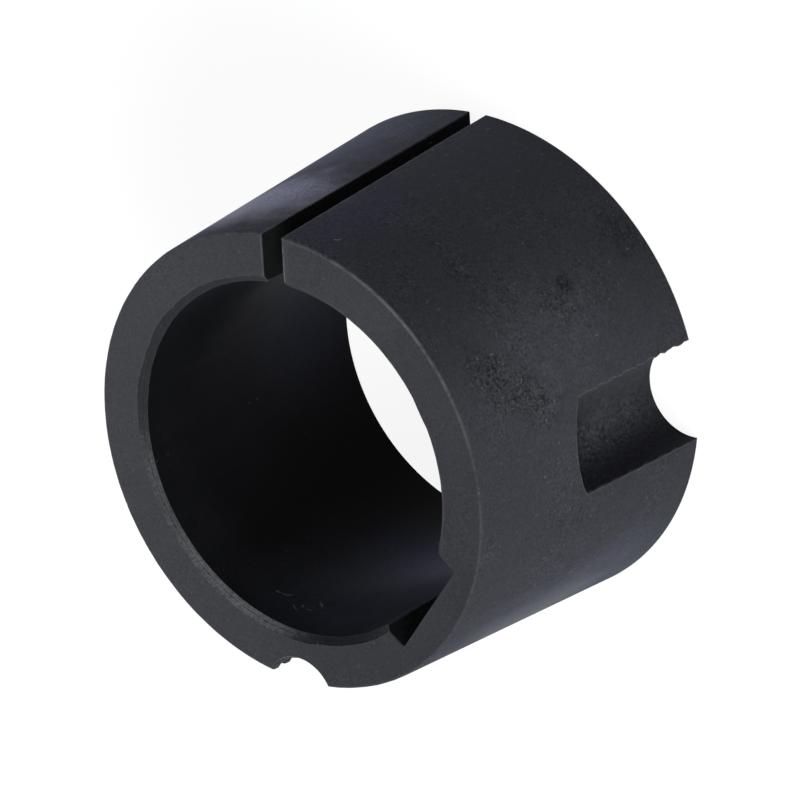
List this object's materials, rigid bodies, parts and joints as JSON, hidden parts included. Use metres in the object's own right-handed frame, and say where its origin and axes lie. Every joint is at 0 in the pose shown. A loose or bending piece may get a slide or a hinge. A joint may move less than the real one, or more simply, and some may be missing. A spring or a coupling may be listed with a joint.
{
  "type": "split taper bushing",
  "caption": "Split taper bushing with a straight keyed bore, a tapered outside, blind plain half-holes and a threaded half-hole for the screws that seat and free it.",
  "frame": {"origin": "centre of the large end face, on the bore axis", "axes": "+Z along the bore from the large end face to the small end face; the saw slit faces -Y and the threaded half-hole faces +Y"},
  "size_m": [0.0348, 0.035, 0.0222],
  "materials": {
    "blackened_iron": "matt black oxide over machined cast iron, faintly bluish where it is smoothest"
  },
  "bodies": {
    "root": {"taper_bush": "blackened_iron"}
  },
  "joints": []
}
